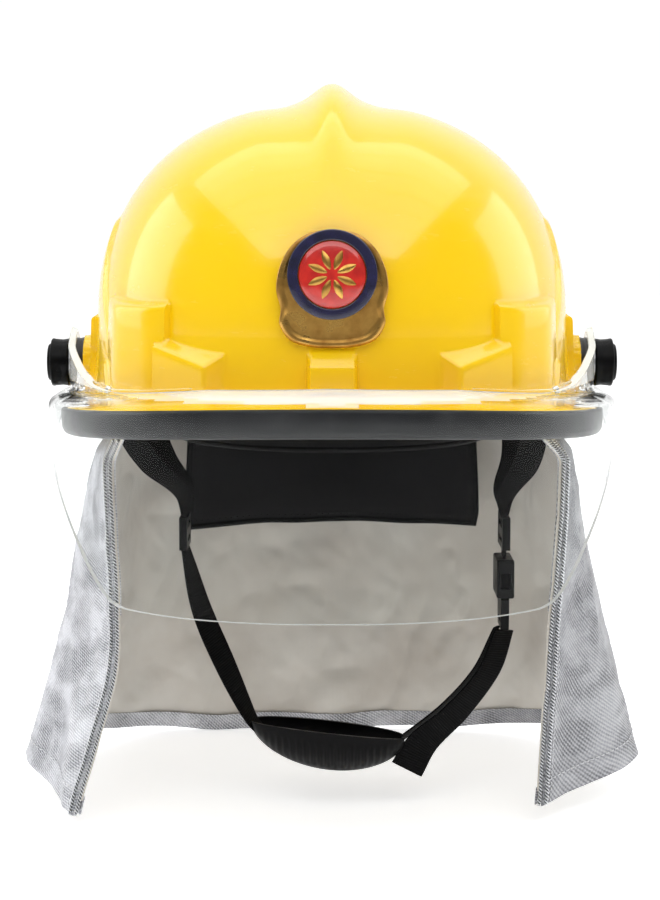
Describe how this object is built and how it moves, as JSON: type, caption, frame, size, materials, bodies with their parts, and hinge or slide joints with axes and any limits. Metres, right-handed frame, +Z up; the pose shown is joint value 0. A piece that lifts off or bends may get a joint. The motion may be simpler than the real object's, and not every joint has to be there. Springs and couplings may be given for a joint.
{
  "type": "firefighter helmet",
  "caption": "Ridged firefighting helmet with a rubber-edged brim, a tilting clear visor on clamp knobs, a webbing suspension, a chin harness with a cup and a flared neck cape.",
  "frame": {"origin": "centre of the headband's opening, 2 mm under the headband's lower edge, where a head enters the helmet", "axes": "+Z up through the crown, the helmet's front faces -Y, +X to the wearer's left; the visor turns about a line along X at z = 34 mm"},
  "size_m": [0.324, 0.328, 0.3743],
  "materials": {
    "shell_yellow": "glossy moulded yellow",
    "trim_rubber": "black, slightly shiny",
    "visor_clear": "clear polycarbonate",
    "knob_black": "black satin",
    "steel": "plain zinc-plated",
    "badge_gold": "struck and lacquered",
    "badge_navy": "enamel",
    "badge_red": "enamel",
    "liner_foam": "expanded foam",
    "band_plastic": "moulded black",
    "pad_leather": "black, stitched",
    "webbing": "woven black webbing",
    "buckle_plastic": "moulded black",
    "cape_silver": "aluminised twill",
    "cape_lining": "plain grey cotton"
  },
  "bodies": {
    "helmet": {"badge_disc": "badge_red", "badge_plate": "badge_gold", "badge_ring": "badge_navy", "brim_trim": "trim_rubber", "cape_front_hem_left": "cape_silver", "cape_front_hem_right": "cape_silver", "cape_lining": "cape_lining", "cape_outer": "cape_silver", "crown_pad": "pad_leather", "crown_strap_centre": "webbing", "crown_strap_left": "webbing", "crown_strap_right": "webbing", "hanger_front": "band_plastic", "hanger_front_left": "band_plastic", "hanger_front_right": "band_plastic", "hanger_rear": "band_plastic", "hanger_rear_left": "band_plastic", "hanger_rear_right": "band_plastic", "headband": "band_plastic", "impact_liner": "liner_foam", "left_flange_nut": "steel", "left_front_leg": "webbing", "left_front_rivet": "steel", "left_pivot_bolt": "steel", "left_pivot_spacer": "trim_rubber", "left_rear_leg": "webbing", "left_rear_rivet": "steel", "left_slip_washer": "steel", "nape_pad": "pad_leather", "nape_pad_hanger": "webbing", "ratchet_base": "band_plastic", "ratchet_cover": "band_plastic", "right_flange_nut": "steel", "right_front_leg": "webbing", "right_front_rivet": "steel", "right_pivot_bolt": "steel", "right_pivot_spacer": "trim_rubber", "right_rear_leg": "webbing", "right_rear_rivet": "steel", "right_slip_washer": "steel", "shell": "shell_yellow", "sweatband": "pad_leather"},
    "visor": {"visor": "visor_clear"},
    "left_knob": {"left_pivot_knob": "knob_black"},
    "right_knob": {"right_pivot_knob": "knob_black"},
    "ratchet_knob": {"ratchet_knob": "band_plastic", "ratchet_pinion": "band_plastic"},
    "upper_tail": {"headband_tail_upper": "band_plastic"},
    "lower_tail": {"headband_tail_lower": "band_plastic"},
    "harness": {"right_slider": "buckle_plastic", "left_slider": "buckle_plastic", "left_short_strap": "webbing", "buckle_socket": "buckle_plastic"},
    "chin_strap": {"right_chin_strap": "webbing", "left_chin_strap": "webbing", "strap_tail": "webbing", "buckle_clip": "buckle_plastic", "chin_cup": "buckle_plastic"}
  },
  "joints": [
    {"name": "visor_tilt", "type": "hinge", "parent": "helmet", "child": "visor", "pos_m": [0, 0, 0.034], "axis": [-1, 0, 0], "range_deg": [0, 80]},
    {"name": "left_knob_turn", "type": "hinge", "parent": "helmet", "child": "left_knob", "pos_m": [0.14, 0, 0.034], "axis": [1, 0, 0], "range_deg": [-180, 180]},
    {"name": "right_knob_turn", "type": "hinge", "parent": "helmet", "child": "right_knob", "pos_m": [-0.14, 0, 0.034], "axis": [-1, 0, 0], "range_deg": [-180, 180]},
    {"name": "ratchet_turn", "type": "hinge", "parent": "helmet", "child": "ratchet_knob", "pos_m": [0, 0.104, 0.016], "axis": [0, 1, 0], "range_deg": [-55, 55]},
    {"name": "upper_tail_slide", "type": "slide", "parent": "helmet", "child": "upper_tail", "axis": [1, 0, 0], "range_m": [-0.005, 0.005]},
    {"name": "lower_tail_slide", "type": "slide", "parent": "helmet", "child": "lower_tail", "axis": [-1, 0, 0], "range_m": [-0.005, 0.005]},
    {"name": "harness_swing", "type": "hinge", "parent": "helmet", "child": "harness", "pos_m": [0, -0.01, -0.038], "axis": [1, 0, 0], "range_deg": [-30, 25]},
    {"name": "buckle_release", "type": "slide", "parent": "harness", "child": "chin_strap", "axis": [0, 0, -1], "range_m": [0, 0.016]}
  ],
  "couplings": [
    {"joint": "upper_tail_slide", "follows": "ratchet_turn", "m_per_rad": 0.005},
    {"joint": "lower_tail_slide", "follows": "ratchet_turn", "m_per_rad": 0.005}
  ]
}
